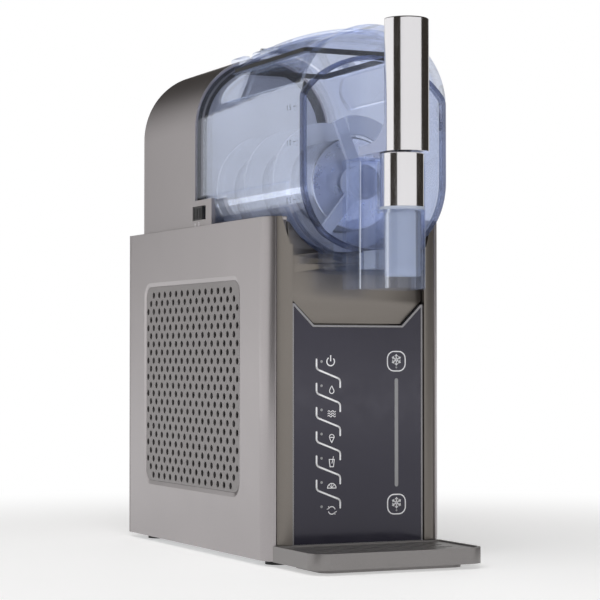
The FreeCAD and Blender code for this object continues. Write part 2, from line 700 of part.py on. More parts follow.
def vessel_outer():
    front = VESSEL_FRONT + 6
    chamber = stadium(VESSEL_R, front, CHAMBER_REAR)
    full = stadium(VESSEL_R, CHAMBER_REAR - 1, VESSEL_REAR)
    keep = box(-80, 80, 0, SKIRT_FRONT - 3, 304, 500).fuse(box(-80, 80, 100, 250, 324, 500))
    neck = cyl("y", VESSEL_NECK_R, CHAMBER_REAR - 1, VESSEL_REAR, 0, AUGER_Z)
    brow = stadium(VESSEL_R, VESSEL_FRONT, front + 1).cut(window_outline(-0.2, VESSEL_FRONT - 1, front))
    brow = brow.common(box(-80, 80, VESSEL_FRONT - 1, front + 1, 397, 500))
    solid = chamber.multiFuse([full.common(keep), neck, brow, sump(VESSEL_WALL, front, 0, 280)])
    for tool in both_sides(notch(60.5, 49.5)):
        solid = solid.cut(tool)
    return solid


def vessel_inner():
    wall = VESSEL_WALL
    front = VESSEL_FRONT + 6 + wall
    chamber = stadium(VESSEL_R - wall, front, CHAMBER_REAR - wall)
    neck = cyl("y", VESSEL_NECK_R - wall, CHAMBER_REAR - wall - 1, VESSEL_REAR + 1, 0, AUGER_Z)
    upper = stadium(VESSEL_R - wall, CHAMBER_REAR - wall - 1, VESSEL_REAR + 1)
    upper = upper.common(box(-80, 80, 0, 250, AUGER_Z, 500))
    solid = chamber.multiFuse([neck, upper, sump(0, front, -3, 285)])
    for tool in both_sides(notch(57.2, 46.2)):
        solid = solid.cut(tool)
    return solid


def vessel_body():
    body = vessel_outer().cut(vessel_inner())
    body = body.cut(box(-60, 60, PORT_FRONT, PORT_REAR, RIM_Z, 500))
    body = body.cut(box(-9.5, 9.5, VESSEL_FRONT, -20, 253, 263))
    y, z = LID_HINGE
    lug = box(8.2, 15, PORT_REAR + 0.3, y + KNUCKLE_R, 452, z).fuse(cyl("x", KNUCKLE_R, 8.2, 15, y, z))
    for piece in both_sides(lug):
        body = body.fuse(piece)
    body = body.cut(vessel_inner().common(box(-60, 60, PORT_REAR, 200, 440, 460)))
    return body.cut(cyl("x", 1.5, -20, 20, y, z)).removeSplitter()


def duct_gap():
    return box(-12.3, 12.3, VESSEL_FRONT - 10, VESSEL_FRONT + 7, 240, 265.8)


def front_window():
    return window_outline(3.9, VESSEL_FRONT, VESSEL_FRONT + 5.8).cut(duct_gap())


def window_seal():
    y0, y1 = VESSEL_FRONT, VESSEL_FRONT + 5.8
    ring = window_outline(0, y0, y1).cut(window_outline(3.8, y0 - 1, y1 + 1))
    return ring.cut(duct_gap())


# --- fill lid ---
def lid_dome(radius):
    major = LID_BULGE_R - LID_R
    middle_y = sum(LID_Y) / 2
    return Part.makeTorus(major, radius, V(0, middle_y, LID_TOP - LID_BULGE_R), V(1, 0, 0))


def fill_lid():
    y0, y1 = LID_Y
    low = RIM_Z + 4.4
    lid = lid_dome(LID_R).common(box(-60, 60, y0, y1, low, 480))
    hollow = lid_dome(LID_R - 2.5).common(box(-60, 60, y0 + 2.5, y1 - 2.5, low - 1, 480))
    lid = lid.cut(hollow)
    y, z = LID_HINGE
    arm = box(-7.8, 7.8, y1 - 2, y, z - 2.4, z + 2.4).fuse(cyl("x", KNUCKLE_R, -7.8, 7.8, y, z))
    grip = soft_box(-14, 14, y0 - 2.4, y0 + 2, 447, 451, 1.5)
    tabs = []
    for tab_y in ((66, 104), (128, 152)):
        tab = rounded(box(46, 54, *tab_y, low + 0.6, low + 7.5), 2.5, "y", lambda p: p.x > 50)
        tabs += both_sides(tab)
    lid = lid.multiFuse([arm, grip] + tabs).removeSplitter()
    return lid.cut(cyl("x", 1.5 + RUN, -20, 20, y, z))


def lid_seal():
    y0, y1 = LID_Y[0] + 1.5, LID_Y[1] - 1.2
    ring = soft_box(-47.3, 47.3, y0, y1, RIM_Z + 0.3, RIM_Z + 4.2, 5)
    return ring.cut(soft_box(-42.5, 42.5, y0 + 5, y1 - 5, RIM_Z, RIM_Z + 5, 3))


def lid_pin():
    y, z = LID_HINGE
    heads = both_sides(cyl("x", 2.4, 15.3, 17, y, z))
    return cyl("x", 1.5, -17, 17, y, z).multiFuse(heads)


# --- tap ---
def hood_form(inset, low, top):
    """Plan of the chute: a box behind and a half-round nose in front."""
    half = HOOD_HALF - inset
    rear = VESSEL_FRONT - 0.1 - inset
    back = soft_box(-half, half, HOOD_FRONT + inset, rear, low, top, 6)
    back = back.fuse(box(-half, half, HOOD_FRONT + 8, rear, low, top))
    nose_r = HANDLE_R - inset
    throat = box(-nose_r, nose_r, SPOUT_Y, HOOD_FRONT + 10, low, top)
    return back.multiFuse([throat, cyl("z", nose_r, low, top, 0, SPOUT_Y)]).removeSplitter()


def spout_hood():
    wall = 2.4
    hood = hood_form(0, HOOD_LOW, HOOD_TOP)
    hollow = hood_form(wall, HOOD_LOW - 1, HOOD_TOP - wall)
    hollow = hollow.cut(cyl("z", 18.6 + wall, NOSE_TOP - wall, HOOD_TOP, 0, SPOUT_Y))
    hood = hood.cut(hollow)
    hood = hood.cut(box(-40, 40, -120, SPOUT_Y, NOSE_TOP, HOOD_TOP + 1))
    hood = hood.cut(box(-19.5, 19.5, SPOUT_Y - 1, HOOD_FRONT, NOSE_TOP, HOOD_TOP + 1))
    hood = hood.cut(cyl("z", 18.6, NOSE_TOP, HOOD_TOP + 1, 0, SPOUT_Y))
    hood = hood.cut(cyl("z", 15.2, NOSE_TOP - 5, NOSE_TOP + 1, 0, SPOUT_Y))
    return hood.cut(box(-12.3, 12.3, VESSEL_FRONT - 5, VESSEL_FRONT, 250.2, 265.8)).removeSplitter()


def valve_body():
    """Upright tube with a side duct from the vessel's sump."""
    tube = cyl("z", 15, 243, 318, 0, SPOUT_Y)
    duct = box(-12, 12, SPOUT_Y, VESSEL_FRONT + 5.9, 250.5, 265.5)
    valve = tube.fuse(duct).removeSplitter()
    valve = valve.cut(cyl("z", 12.5, 240, 320, 0, SPOUT_Y))
    return valve.cut(box(-9.5, 9.5, SPOUT_Y, VESSEL_FRONT + 7, 253, 263))


def bonnet_ring():
    return pipe("z", 18.4, 15.1, NOSE_TOP + 0.1, 299.9, 0, SPOUT_Y)


def tap_bonnet():
    cap = cyl("z", 18, 300, 344, 0, SPOUT_Y)
    cap = cap.cut(cyl("z", 15.1, 299, 341, 0, SPOUT_Y)).cut(cyl("z", 3.9, 340, 345, 0, SPOUT_Y))
    rim = [e for e in cap.Edges if abs(e.CenterOfMass.z - 344) < 1e-6 and e.Length > 100]
    return cap.makeFillet(0.8, rim)


RING_Z = (252.0, 264.0)


def tap_plunger():
    head = cyl("z", 12.1, 250, 268, 0, SPOUT_Y)
    for z in RING_Z:
        head = head.cut(pipe("z", 13, 10.6, z, z + 2.2, 0, SPOUT_Y))
    return head.fuse(cyl("z", 3.5, 268, 348.5, 0, SPOUT_Y)).removeSplitter()


def plunger_rings():
    return [pipe("z", 12.42, 10.6, z + 0.1, z + 2.1, 0, SPOUT_Y) for z in RING_Z]


def tap_spring():
    """Return spring between the plunger's head and the bonnet's roof."""
    wire_r, coil_r = 0.9, 8.0
    low, high = 268.0 + wire_r + 0.2, 341.0 - wire_r - 0.2
    turns = 9
    spine = Part.makeHelix((high - low) / turns, high - low, coil_r)
    profile = Part.Wire(Part.makeCircle(wire_r, V(coil_r, 0, 0), V(0, 1, 0)))
    spring = Part.Wire(spine.Edges).makePipeShell([profile], True, True)
    spring.translate(V(0, SPOUT_Y, low))
    return spring


def tap_bracket():
    y, z = TAP_PIVOT
    lug = box(-5.7, 5.7, y - 6, y + 6, HOOD_TOP + 0.1, z).fuse(cyl("x", 5, -5.7, 5.7, y, z).common(
        box(-6, 6, y - 6, y + 6, z - 1, z + 3.8)))
    foot = box(-12, 12, y - 9, y + 8, HOOD_TOP + 0.1, HOOD_TOP + 1.4)
    return lug.fuse(foot).removeSplitter().cut(cyl("x", 2.5, -20, 20, y, z))


def tap_pin():
    return cyl("x", 2.5, -17, 17, *TAP_PIVOT)


def tap_handle():
    """Half-round lever with a flat back that sweeps into a foot over the pivot."""
    flat_y, foot_y, foot_top, sweep_top = -86.0, -39.0, 353.0, 374.0
    bar = cyl("z", HANDLE_R, HANDLE_LOW, HANDLE_TOP, 0, HANDLE_Y)
    bar = bar.common(box(-20, 20, -120, flat_y, HANDLE_LOW, HANDLE_TOP))
    bar = bar.makeFillet(1.2, [e for e in bar.Edges if abs(e.CenterOfMass.z - HANDLE_TOP) < 1e-6])
    sweep_end = -53.0
    curve = Part.BezierCurve()
    round_in = 0.5523
    curve.setPoles([V(0, flat_y, sweep_top), V(0, flat_y, sweep_top - round_in * (sweep_top - foot_top)),
                    V(0, sweep_end + round_in * (flat_y - sweep_end), foot_top), V(0, sweep_end, foot_top)])
    corners = [V(0, foot_y, foot_top), V(0, foot_y, HANDLE_LOW), V(0, flat_y - 1, HANDLE_LOW),
               V(0, flat_y - 1, sweep_top)]
    foot = joined([curve.toShape()], *corners)
    foot.translate(V(-HANDLE_R, 0, 0))
    foot = foot.extrude(V(2 * HANDLE_R, 0, 0))
    handle = bar.fuse(foot).removeSplitter()
    y, z = TAP_PIVOT
    handle = handle.cut(box(-6, 6, y - 8, y + 9, HANDLE_LOW - 1, foot_top + 1))
    handle = handle.cut(cyl("x", 2.5 + RUN, -17.2, 17.2, y, z))
    return handle.cut(cyl("z", 9, HANDLE_LOW - 1, 354.5, 0, SPOUT_Y))


# --- drip tray ---
def drip_tray():
    rear = -1.0
    half = TRAY_HALF
    body = box(-half, half, TRAY_FRONT, rear, GROUND, TRAY_TOP)
    body = rounded(body, 15, "z", lambda p: p.y < TRAY_FRONT + 1)
    arms = both_sides(box(64, half, rear - 1, 1.8, GROUND, TRAY_TOP))
    body = body.multiFuse(arms).removeSplitter()
    pocket = rounded(box(-76.6, 76.6, TRAY_FRONT + 2.8, -3.6, 14.8, 20), 12.2, "z", lambda p: p.y < -70)
    well = rounded(box(-73.5, 73.5, TRAY_FRONT + 6, -7, GROUND + 2.8, 15), 4, "z", lambda p: p.y < -70)
    plinth = soft_box(-66, 66, TRAY_FRONT + 14, -8, 0.8, GROUND, 10)
    return body.cut(pocket).cut(well).fuse(plinth).removeSplitter()


def drip_grid():
    z = 15.0
    y0, y1 = TRAY_FRONT + 3.2, -4.0
    plate = rounded(box(-76.2, 76.2, y0, y1, z, z + 1.8), 11.8, "z", lambda p: p.y < -70)
    slots = []
    for row in range(7):
        y = y0 + 9 + row * 9.4
        count = 6 if row % 2 == 0 else 5
        for i in range(count):
            x = (i - (count - 1) / 2) * 22
            slots.append(Part.Face(slot_wire("z", z - 1, x, y, 17, 4.4)).extrude(V(0, 0, 4)))
    return plate.cut(Part.makeCompound(slots))


def main():
    os.makedirs("parts", exist_ok=True)
    cover = side_cover()
    mesh = grille()
    lock = latch()
    nodes = {
        "base_pan": base_pan(), "feet": feet(), "front_frame": front_frame(), "front_plate": front_plate(),
        "panel_bezel": panel_bezel(), "control_glass": control_glass(), "control_board": control_board(),
        "status_lights": status_lights(), "right_cover": cover, "left_cover": mirrored(cover),
        "right_grille": mesh, "left_grille": mirrored(mesh), "air_filters": both_sides(air_filter()),
        "rear_cover": rear_cover(), "rear_screws": rear_screws(), "mains_inlet": mains_inlet(),
        "inlet_pins": inlet_pins(),
        "top_deck": top_deck(), "head_shell": head_shell(), "right_latch": lock, "left_latch": mirrored(lock),
        "head_bulkhead": head_bulkhead(), "vessel_gasket": vessel_gasket(),
        "evaporator_drum": evaporator_drum(),
        "shaft_seal": pipe("y", 9, SHAFT_R + RUN, HEAD_FRONT, HEAD_FRONT + 3.2, 0, AUGER_Z),
        "front_bush": pipe("y", 9, SHAFT_R + RUN, DRUM_FRONT, DRUM_FRONT + 14, 0, AUGER_Z),
        "gearbox_housing": gearbox_housing(), "gear_motor": gear_motor(), "motor_pinion": motor_pinion(),
        "drive_shaft": drive_shaft(), "output_gear": output_gear(), "auger": auger(),
        "auger_nose": auger_nose(), "compressor": compressor(), "compressor_mounts": compressor_mounts(),
        "condenser": condenser(), "fan_shroud": fan_shroud(), "fan_motor": fan_motor(),
        "fan_blades": fan_blades(), "filter_drier": filter_drier(),
        "refrigerant_lines": refrigerant_lines(), "power_board": power_board(),
        "vessel_body": vessel_body(), "front_window": front_window(), "window_seal": window_seal(),
        "fill_lid": fill_lid(), "lid_seal": lid_seal(), "lid_pin": lid_pin(),
        "spout_hood": spout_hood(), "valve_body": valve_body(), "bonnet_ring": bonnet_ring(),
        "tap_bonnet": tap_bonnet(), "tap_plunger": tap_plunger(), "plunger_rings": plunger_rings(),
        "tap_spring": tap_spring(), "tap_bracket": tap_bracket(), "tap_pin": tap_pin(),
        "tap_handle": tap_handle(), "drip_tray": drip_tray(), "drip_grid": drip_grid(),
    }
    for name, shape in nodes.items():
        save(name, shape)


main()
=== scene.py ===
import json
import math

import bmesh
import bpy
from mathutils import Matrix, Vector


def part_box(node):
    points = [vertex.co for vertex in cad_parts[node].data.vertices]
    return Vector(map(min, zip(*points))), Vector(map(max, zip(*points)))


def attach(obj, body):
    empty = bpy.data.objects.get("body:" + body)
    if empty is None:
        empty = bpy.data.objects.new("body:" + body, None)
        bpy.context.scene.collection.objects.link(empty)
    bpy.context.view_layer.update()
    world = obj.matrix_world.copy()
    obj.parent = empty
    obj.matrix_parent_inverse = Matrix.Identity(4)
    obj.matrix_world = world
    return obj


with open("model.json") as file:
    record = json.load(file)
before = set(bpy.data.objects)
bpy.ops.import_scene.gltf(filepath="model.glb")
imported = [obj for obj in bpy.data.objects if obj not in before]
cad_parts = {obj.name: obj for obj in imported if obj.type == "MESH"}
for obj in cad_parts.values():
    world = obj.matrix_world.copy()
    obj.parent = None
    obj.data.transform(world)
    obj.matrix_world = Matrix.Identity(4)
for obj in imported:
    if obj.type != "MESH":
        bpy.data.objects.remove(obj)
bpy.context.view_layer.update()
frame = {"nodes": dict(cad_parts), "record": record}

MM = 0.001
PRINT_LOW, PRINT_HIGH = 0.02, 0.08             # mm that printed marks stand off their surface
PRINT_STAGGER = 0.0004                         # mm between neighbouring strokes, so that none coincide
TUB_HAZE, TUB_GLOSS = 0.02, 0.5                # share of milky light, and of full mirror shine
nodes = frame["nodes"]


# --- materials ---
class Tree:
    """A material's node tree."""

    def __init__(self, name):
        self.material = bpy.data.materials.new(name)
        self.material.use_nodes = True
        self.nodes = self.material.node_tree.nodes
        self.links = self.material.node_tree.links
        self.nodes.clear()
        self.output = self.nodes.new("ShaderNodeOutputMaterial")
        self.place = self.nodes.new("ShaderNodeTexCoord").outputs["Object"]

    def node(self, kind, sockets=None, **settings):
        made = self.nodes.new("ShaderNode" + kind)
        for name, value in settings.items():
            setattr(made, name, value)
        for name, value in (sockets or {}).items():
            if isinstance(value, bpy.types.NodeSocket):
                self.links.new(value, made.inputs[name])
            else:
                made.inputs[name].default_value = value
        return made

    def stretched(self, scale):
        return self.node("Mapping", {"Vector": self.place, "Scale": scale}).outputs["Vector"]

    def noise(self, size, detail=3.0, vector=None, rough=0.5):
        """Noise whose blotches are about size metres across."""
        sockets = {"Vector": vector or self.place, "Scale": 1 / size, "Detail": detail, "Roughness": rough}
        return self.node("TexNoise", sockets).outputs["Fac"]

    def between(self, factor, low, high, start=0.3, end=0.7):
        """Colour that runs from low to high as factor goes from start to end."""
        ramp = self.node("ValToRGB", {"Fac": factor})
        ramp.color_ramp.elements[0].position = start
        ramp.color_ramp.elements[1].position = end
        ramp.color_ramp.elements[0].color = (*low, 1)
        ramp.color_ramp.elements[1].color = (*high, 1)
        return ramp.outputs["Color"]

    def span(self, factor, low, high):
        """Number that runs from low to high as factor goes from 0.3 to 0.7."""
        made = self.node("MapRange", {"Value": factor, "From Min": 0.3, "From Max": 0.7, "To Min": low,
                                      "To Max": high})
        return made.outputs["Result"]

    def bump(self, height, depth, normal=None):
        sockets = {"Height": height, "Strength": 1.0, "Distance": depth}
        if normal:
            sockets["Normal"] = normal
        return self.node("Bump", sockets).outputs["Normal"]

    def shader(self, sockets):
        made = self.node("BsdfPrincipled", sockets)
        self.links.new(made.outputs["BSDF"], self.output.inputs["Surface"])
        return self.material

    def surface(self, socket):
        self.links.new(socket, self.output.inputs["Surface"])
        return self.material


def scaled(colour, factor):
    return tuple(min(1.0, c * factor) for c in colour)


def satin_metal(name, colour, metallic=0.92, rough=0.33):
    """Fine metallic paint: flake in the colour, a soft mottling and a faint orange peel."""
    t = Tree(name)
    flake = t.noise(0.00035, 2.0)
    cloud = t.noise(0.09, 2.0)
    base = t.between(flake, scaled(colour, 0.93), scaled(colour, 1.07))
    cloudy = t.node("Mix", {"Factor": 1.0, "A": base, "B": t.between(cloud, (0.96,) * 3, (1.0,) * 3)},
                    data_type="RGBA", blend_type="MULTIPLY")
    peel = t.bump(t.noise(0.0016, 2.0), 0.000006)
    return t.shader({"Base Color": cloudy.outputs["Result"], "Metallic": metallic,
                     "Roughness": t.span(flake, rough - 0.03, rough + 0.04), "Normal": peel})


def plastic(name, colour, rough=0.45, grain=0.0007, depth=0.00002, spread=0.06, coat=0.0):
    """Moulded plastic: fine spark-eroded grain and slight colour variation."""
    t = Tree(name)
    grains = t.noise(grain, 3.0)
    cloud = t.noise(0.05, 3.0)
    base = t.between(cloud, scaled(colour, 1 - spread), scaled(colour, 1 + spread))
    return t.shader({"Base Color": base, "Roughness": t.span(grains, rough - 0.05, rough + 0.07),
                     "Normal": t.bump(grains, depth), "Coat Weight": coat})


def bare_metal(name, colour, rough, stretch, depth=0.000004, shade=0.05):
    """Metal with fine machining or polishing marks; stretch gives the marks' lie."""
    t = Tree(name)
    marks = t.noise(0.01, 4.0, t.stretched(stretch), 0.6)
    cloud = t.noise(0.03, 3.0)
    base = t.between(cloud, scaled(colour, 1 - shade), scaled(colour, 1 + shade))
    return t.shader({"Base Color": base, "Metallic": 1.0,
                     "Roughness": t.span(marks, rough * 0.7, rough * 1.3), "Normal": t.bump(marks, depth)})


def rubber(name):
    """Black rubber with a faint grey bloom."""
    t = Tree(name)
    colour = (0.012, 0.012, 0.013)
    grains = t.noise(0.0006, 3.0)
    bloom = t.noise(0.02, 4.0)
    base = t.between(bloom, scaled(colour, 0.8), scaled(colour, 1.5))
    return t.shader({"Base Color": base, "Roughness": t.span(bloom, 0.54, 0.70),
                     "Normal": t.bump(grains, 0.00003)})


def clear_tub(name, tint, edge):
    """Thin clear tinted plastic: light passes straight through, tinted, and deeper towards grazing."""
    t = Tree(name)
    facing = t.node("LayerWeight", {"Blend": 0.35}).outputs["Facing"]
    deep = t.node("Math", {0: facing, 1: 2.6}, operation="POWER").outputs["Value"]
    through = t.between(t.noise(0.05, 2.0), scaled(tint, 0.985), tint)
    colour = t.node("Mix", {"Factor": deep, "A": through, "B": (*edge, 1)}, data_type="RGBA")
    clear = t.node("BsdfTransparent", {"Color": colour.outputs["Result"]})
    milk = t.node("BsdfDiffuse", {"Color": (0.70, 0.77, 0.93, 1)})
    body = t.node("MixShader", {"Fac": TUB_HAZE, 1: clear.outputs["BSDF"], 2: milk.outputs["BSDF"]})
    wave = t.bump(t.noise(0.03, 2.0), 0.00008)
    rough = t.span(t.noise(0.004, 3.0), 0.015, 0.035)
    mirror = t.node("BsdfAnisotropic", {"Color": (0.93, 0.96, 1.0, 1), "Roughness": rough, "Normal": wave})
    rim = t.node("Fresnel", {"IOR": 1.46, "Normal": wave}).outputs["Fac"]
    shine = t.node("Math", {0: rim, 1: TUB_GLOSS}, operation="MULTIPLY").outputs["Value"]
    mixed = t.node("MixShader", {"Fac": shine, 1: body.outputs["Shader"], 2: mirror.outputs["BSDF"]})
    return t.surface(mixed.outputs["Shader"])


def milky(name, colour, alpha):
    """Translucent moulded plastic that lets some of what is behind it show."""
    t = Tree(name)
    cloud = t.noise(0.02, 3.0)
    base = t.between(cloud, scaled(colour, 0.95), colour)
    return t.shader({"Base Color": base, "Roughness": t.span(t.noise(0.0015, 3.0), 0.30, 0.43),
                     "Alpha": alpha, "Subsurface Weight": 0.25, "Subsurface Radius": (0.004, 0.004, 0.005),
                     "Normal": t.bump(t.noise(0.0012, 2.0), 0.00001)})


def ribbed_milk():
    """Milky plastic screw: pale where seen edge-on, clearer where seen face-on."""
    t = Tree("auger_plastic")
    facing = t.node("LayerWeight", {"Blend": 0.4}).outputs["Facing"]
    cloud = t.noise(0.02, 3.0)
    base = t.between(cloud, (0.83, 0.87, 0.96), (0.88, 0.91, 0.98))
    solid = t.node("MapRange", {"Value": facing, "From Min": 0.25, "From Max": 0.9,
                                "To Min": 0.62, "To Max": 0.97})
    return t.shader({"Base Color": base, "Roughness": t.span(t.noise(0.0015, 3.0), 0.28, 0.4),
                     "Alpha": solid.outputs["Result"], "Normal": t.bump(t.noise(0.0012, 2.0), 0.00001)})


def touch_glass():
    t = Tree("touch_glass")
    haze = t.noise(0.12, 2.0)
    base = t.between(haze, (0.016, 0.015, 0.026), (0.020, 0.019, 0.031))
    return t.shader({"Base Color": base, "Roughness": t.span(t.noise(0.01, 4.0), 0.10, 0.16),
                     "Specular IOR Level": 0.5, "Specular Tint": (0.92, 0.90, 1.0, 1),
                     "Normal": t.bump(haze, 0.00002)})


def circuit():
    """Lacquered board: tracks of two widths under the green, darker where copper lies."""
    t = Tree("circuit_board")
    bricks = t.node("TexBrick", {"Vector": t.place, "Scale": 60.0, "Mortar Size": 0.06,
                                 "Color1": (0.01, 0.09, 0.035, 1), "Color2": (0.02, 0.14, 0.06, 1),
                                 "Mortar": (0.05, 0.22, 0.08, 1)})
    return t.shader({"Base Color": bricks.outputs["Color"], "Roughness": t.span(t.noise(0.004), 0.25, 0.4),
                     "Normal": t.bump(bricks.outputs["Fac"], 0.00004)})


def glow(name, colour, strength):
    t = Tree(name)
    base = t.between(t.noise(0.001, 2.0), scaled(colour, 0.9), colour)
    return t.shader({"Base Color": base, "Roughness": 0.4, "Emission Color": (*colour, 1),
                     "Emission Strength": strength})


def printed(name, colour):
    """Screen-printed ink."""
    t = Tree(name)
    base = t.between(t.noise(0.0004, 3.0), scaled(colour, 0.9), colour)
    return t.shader({"Base Color": base, "Roughness": 0.5})


def foam():
    """Open-cell foam: dark pores between lighter threads."""
    t = Tree("filter_foam")
    pores = t.node("TexVoronoi", {"Vector": t.place, "Scale": 900.0}).outputs["Distance"]
    base = t.between(pores, (0.020, 0.020, 0.021), (0.006, 0.006, 0.006), 0.1, 0.5)
    return t.shader({"Base Color": base, "Roughness": 0.95, "Normal": t.bump(pores, 0.0006)})


SILVER = (0.40, 0.375, 0.38)
# Painted shade: the silver paint darkened and browned, standing in for the shade on the front faces turned
# away from the lights
SHADED_FRONT_SILVER = (0.20, 0.182, 0.165)
LOOKS = {
    "body_silver": satin_metal("silver_paint", SILVER),
    "panel_rim": satin_metal("rim_grey", (0.26, 0.255, 0.265), 0.6, 0.28),
    "panel_glass": touch_glass(),
    "grille_metal": satin_metal("grille_paint", (0.25, 0.235, 0.235), 0.7, 0.4),
    "clear_blue": clear_tub("clear_blue", (0.945, 0.958, 0.994), (0.76, 0.81, 0.98)),
    "black_rubber": rubber("black_rubber"),
    "auger_white": ribbed_milk(),
    "filter_foam": foam(),
    "valve_white": milky("valve_plastic", (0.62, 0.68, 0.80), 0.6),
    "stainless": bare_metal("stainless", (0.62, 0.62, 0.63), 0.25, (1, 30, 1)),
    "bright_chrome": bare_metal("chrome", (0.78, 0.77, 0.79), 0.13, (4, 4, 0.4), 0.0000005, 0.01),
    "tray_grey": satin_metal("tray_paint", (0.25, 0.238, 0.235), 0.6, 0.40),
    "latch_grey": plastic("latch_plastic", (0.03, 0.03, 0.032), 0.45),
    "inner_grey": plastic("bulkhead_plastic", (0.62, 0.64, 0.70), 0.4),
    "black_plastic": plastic("black_plastic", (0.012, 0.012, 0.013), 0.42),
    "copper": bare_metal("copper", (0.75, 0.36, 0.22), 0.25, (10, 10, 10)),
    "brass": bare_metal("brass", (0.74, 0.55, 0.25), 0.25, (10, 10, 10)),
    "black_steel": plastic("black_enamel", (0.01, 0.01, 0.011), 0.22, 0.003, 0.00001, 0.1, 0.5),
    "motor_steel": bare_metal("zinc_plate", (0.5, 0.5, 0.52), 0.3, (2, 30, 2)),
    "fin_aluminium": bare_metal("aluminium", (0.68, 0.69, 0.70), 0.35, (6, 6, 6)),
    "gear_plastic": plastic("nylon", (0.72, 0.70, 0.62), 0.4),
    "circuit_green": circuit(),
    "light_white": glow("status_light", (0.75, 0.8, 0.9), 0.1),
    "zinc_steel": satin_metal("zinc_sheet", (0.32, 0.33, 0.34), 0.7, 0.4),
}
slot_of = {row["node"]: row["material_slot"] for row in frame["record"]["subparts"]}
NODE_LOOKS = {
    "evaporator_drum": bare_metal("drum_steel", (0.76, 0.78, 0.83), 0.32, (1, 6, 1), 0.000001, 0.03),
    # Front frame and plate take the darkened silver, as painted shade
    "front_frame": satin_metal("frame_paint_painted_shade", SHADED_FRONT_SILVER),
    "front_plate": satin_metal("plate_paint_painted_shade", SHADED_FRONT_SILVER),
    "window_seal": clear_tub("seal_edge", (0.52, 0.55, 0.66), (0.20, 0.22, 0.32)),
}
for name, thing in nodes.items():
    thing.data.materials.clear()
    thing.data.materials.append(NODE_LOOKS.get(name, LOOKS[slot_of[name]]))


def soften(name, width):
    """A small rounded edge on a CAD solid's sharp corners, so that it catches the light."""
    weld = nodes[name].modifiers.new("weld", "WELD")
    weld.merge_threshold = 0.0000005
    bevel = nodes[name].modifiers.new("edge", "BEVEL")
    bevel.width = width
    bevel.segments = 2
    bevel.limit_method = "ANGLE"
    bevel.angle_limit = math.radians(38)
    bevel.harden_normals = True


for name in ("right_cover", "left_cover", "front_plate", "panel_bezel", "top_deck", "drip_tray"):
    soften(name, 0.4 * MM)


# --- printed marks ---
class Marks:
    """Flat printed shapes on one surface, drawn in millimetres and built as one mesh."""

    def __init__(self, name, right, up, out, origin, material, body, slot):
        self.mesh = bmesh.new()
        self.name = name
        self.axes = Vector(right), Vector(up), Vector(out)
        self.origin = Vector(origin)
        self.material = material
        self.body = body
        self.slot = slot

    def point(self, u, v, depth):
        right, up, out = self.axes
        return self.origin + (right * u + up * v + out * depth) * MM

    def prism(self, outline, lift=0.0):
        """A thin closed prism over a flat outline of (u, v) points."""
        bottom = [self.mesh.verts.new(self.point(u, v, PRINT_LOW + lift)) for u, v in outline]
        top = [self.mesh.verts.new(self.point(u, v, PRINT_HIGH + lift)) for u, v in outline]
        self.mesh.faces.new(top)
        self.mesh.faces.new(bottom[::-1])
        for i, start in enumerate(bottom):
            end = (i + 1) % len(bottom)
            self.mesh.faces.new((start, bottom[end], top[end], top[i]))

    def line(self, points, width, closed=False):
        """A line of even width through the points, with round ends."""
        count = len(points)
        for i in range(count if closed else count - 1):
            (u0, v0), (u1, v1) = points[i], points[(i + 1) % count]
            angle = math.atan2(v1 - v0, u1 - u0)
            self.prism(stadium(u0, v0, u1, v1, angle, width / 2), PRINT_STAGGER * (i % 2))

    def disc(self, u, v, radius):
        self.prism(circle(u, v, radius, 24))

    def done(self):
        bmesh.ops.recalc_face_normals(self.mesh, faces=self.mesh.faces)
        data = bpy.data.meshes.new(self.name)
        self.mesh.to_mesh(data)
        self.mesh.free()
        data.materials.append(self.material)
        made = bpy.data.objects.new(self.name, data)
        bpy.context.scene.collection.objects.link(made)
        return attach(made, self.body)


def circle(u, v, radius, steps, start=0.0, turn=2 * math.pi):
    angles = [start + turn * i / steps for i in range(steps)]
    return [(u + radius * math.cos(a), v + radius * math.sin(a)) for a in angles]


def stadium(u0, v0, u1, v1, angle, radius):
    """Outline of a bar with round ends."""
    left, right = angle + math.pi / 2, angle - math.pi / 2
    far = circle(u1, v1, radius, 8, right, math.pi)
    near = circle(u0, v0, radius, 8, left, math.pi)
    far_end = (u1 + radius * math.cos(left), v1 + radius * math.sin(left))
    near_end = (u0 + radius * math.cos(right), v0 + radius * math.sin(right))
    return far + [far_end] + near + [near_end]


def rounded_corner(before, corner, after, radius, steps=6):
    """Points of a curve that cuts the corner between two straight lines."""
    c = Vector(corner)
    a = c + (Vector(before) - c).normalized() * radius
    b = c + (Vector(after) - c).normalized() * radius
    return [tuple(a.lerp(c, t).lerp(c.lerp(b, t), t)) for t in (i / steps for i in range(steps + 1))]


def rounded_square(u, v, half_u, half_v, radius):
    points = []
    for i, (su, sv) in enumerate(((1, 1), (-1, 1), (-1, -1), (1, -1))):
        centre = (u + su * (half_u - radius), v + sv * (half_v - radius))
        points += circle(*centre, radius, 6, i * math.pi / 2, math.pi / 2)
        last = i * math.pi / 2 + math.pi / 2
        points.append((centre[0] + radius * math.cos(last), centre[1] + radius * math.sin(last)))
    return points


INK = printed("panel_ink", (0.86, 0.86, 0.88))
DIM_INK = printed("dim_ink", (0.30, 0.30, 0.31))
glass_low, glass_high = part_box("control_glass")
PANEL_ORIGIN = ((glass_low.x + glass_high.x) / 2, glass_low.y, glass_low.z)   # foot of the glass, mid width
ON_PANEL = ((1, 0, 0), (0, 0, 1), (0, -1, 0), PANEL_ORIGIN)
HOOKS = 6
HOOK_TOP, HOOK_STEP = 156.2, 20.5
HOOK_LEFT, HOOK_RIGHT = -39.6, -17.3
BUTTON_X = 36.6
BUTTONS_Z = (154.6, 31.5)


def hook(marks, top):
    """A line that runs down, slopes to the right and runs down again."""
    knee, ankle = (HOOK_LEFT, top - 8.2), (HOOK_RIGHT, top - 16.8)
    start, end = (HOOK_LEFT, top), (HOOK_RIGHT, top - 23.6)
    path = [start] + rounded_corner(start, knee, ankle, 2.6) + rounded_corner(knee, ankle, end, 2.6) + [end]
    marks.line(path, 1.5)


